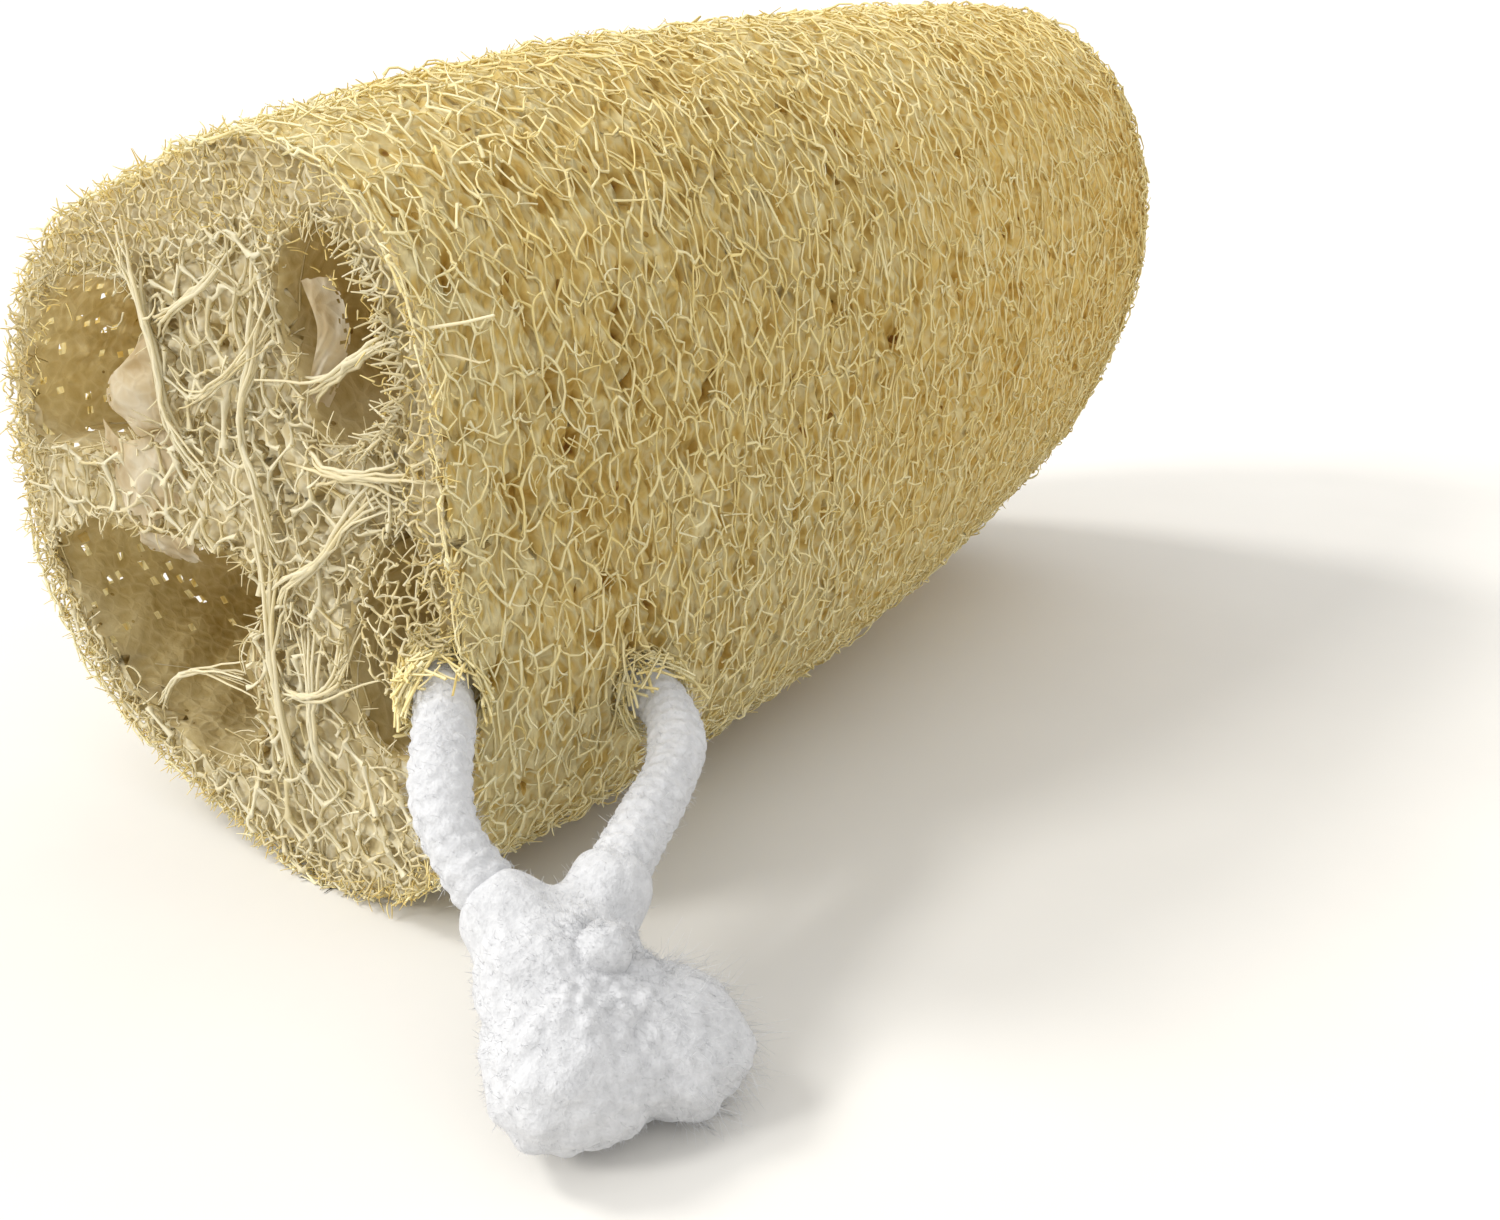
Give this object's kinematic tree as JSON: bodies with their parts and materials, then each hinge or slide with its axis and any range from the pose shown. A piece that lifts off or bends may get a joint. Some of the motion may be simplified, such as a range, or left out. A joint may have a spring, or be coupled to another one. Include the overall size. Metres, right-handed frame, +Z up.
{
  "type": "natural loofah sponge",
  "caption": "Dried loofah fruit sponge, cut square at one end with its seed chambers open, with a tied white cotton hanging loop.",
  "frame": {"origin": "on the surface it rests on, under the middle of the sponge's box, the cord left out", "axes": "+X from the cut end to the closed end, +Z up, -Y towards the side the cord comes out of"},
  "size_m": [0.1648, 0.1079, 0.0824],
  "materials": {
    "loofah_fibre": "dry straw-coloured plant fibre net, matt, slightly translucent",
    "white_cotton": "soft white knitted cotton, matt and fuzzy"
  },
  "bodies": {
    "root": {"sponge": "loofah_fibre", "cord_outer_strand": "white_cotton", "cord_inner_strand": "white_cotton", "cord_knot": "white_cotton", "frayed_end_front": "white_cotton", "frayed_end_right": "white_cotton"}
  },
  "joints": []
}
